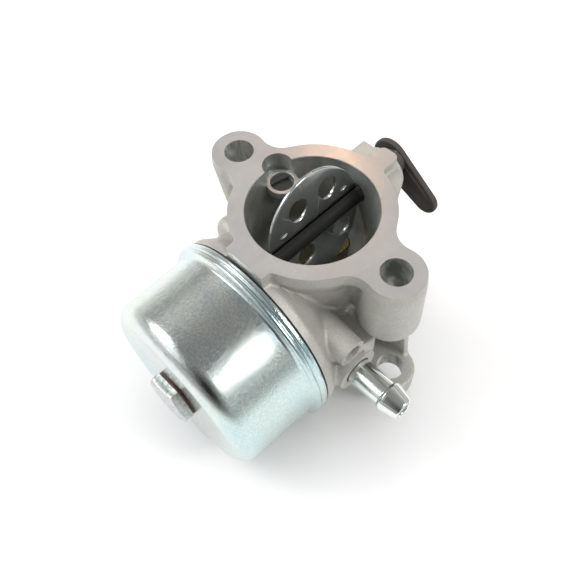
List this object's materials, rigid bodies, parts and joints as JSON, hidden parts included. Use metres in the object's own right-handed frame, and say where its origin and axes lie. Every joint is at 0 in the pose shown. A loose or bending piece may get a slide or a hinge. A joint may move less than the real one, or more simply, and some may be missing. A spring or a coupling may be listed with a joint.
{
  "type": "carburetor",
  "caption": "Small-engine float-bowl carburetor with a choke butterfly on a plastic shaft, a throttle butterfly with lever, a fuel inlet tube and a round steel bowl held by a hex screw.",
  "frame": {"origin": "centre of the bore at the engine flange face", "axes": "+Z along the bore from the engine flange to the air-cleaner flange, -Y into the float bowl, +X out along the fuel inlet tube"},
  "size_m": [0.0753, 0.0805, 0.062],
  "materials": {
    "cast_zinc": "as cast, warm light grey, satin",
    "black_nylon": "satin",
    "plate_steel": "bright rolled",
    "shaft_steel": "ground",
    "spring_steel": "drawn wire",
    "jet_steel": "plated",
    "brass": "turned",
    "zinc_plate": "bright zinc plate",
    "tube_zinc": "bright zinc plate",
    "screw_zinc": "bright zinc plate",
    "felt": "oiled felt",
    "rubber": "matte",
    "fibre": "red vulcanised fibre",
    "float_plastic": "matte"
  },
  "bodies": {
    "body": {"body_casting": "cast_zinc", "choke_shaft_seal": "felt", "throttle_shaft_seal": "felt", "throttle_return_spring": "spring_steel", "idle_speed_spring": "spring_steel", "fuel_inlet_tube": "tube_zinc", "needle_seat": "brass", "main_nozzle": "brass", "main_jet": "brass", "pilot_jet": "jet_steel", "welch_plug": "jet_steel", "float_bowl": "zinc_plate", "bowl_gasket": "rubber", "bowl_screw": "screw_zinc", "bowl_screw_washer": "fibre", "float_hinge_pin": "shaft_steel"},
    "choke": {"choke_shaft": "black_nylon", "choke_plate": "plate_steel"},
    "throttle": {"throttle_shaft": "shaft_steel", "throttle_plate": "brass", "throttle_plate_screw_1": "brass", "throttle_plate_screw_2": "brass", "throttle_lever": "zinc_plate", "throttle_shaft_clip": "spring_steel"},
    "float": {"float": "float_plastic"},
    "needle": {"inlet_needle": "shaft_steel", "needle_clip": "spring_steel"},
    "idle_screw": {"idle_speed_screw": "brass"}
  },
  "joints": [
    {"name": "choke_turn", "type": "hinge", "parent": "body", "child": "choke", "pos_m": [0, 0, 0.04], "axis": [0, 1, 0], "range_deg": [0, 84]},
    {"name": "throttle_turn", "type": "hinge", "parent": "body", "child": "throttle", "pos_m": [0, 0, 0.0074], "axis": [0, 1, 0], "range_deg": [0, 74], "stiffness_Nm_per_rad": 0.01, "springref_deg": -51.57},
    {"name": "float_swing", "type": "hinge", "parent": "body", "child": "float", "pos_m": [0.0202, -0.0236, 0.0195], "axis": [0, 0, 1], "range_deg": [0, 8]},
    {"name": "needle_slide", "type": "slide", "parent": "body", "child": "needle", "axis": [0, -1, 0], "range_m": [0, 0.0009]},
    {"name": "idle_screw_turn", "type": "hinge", "parent": "body", "child": "idle_screw", "pos_m": [-0.012, 0.0214, 0.0144], "axis": [1, 0, 0], "range_deg": [-360, 360]}
  ],
  "couplings": [
    {"joint": "needle_slide", "follows": "float_swing", "m_per_rad": 0.0057}
  ]
}
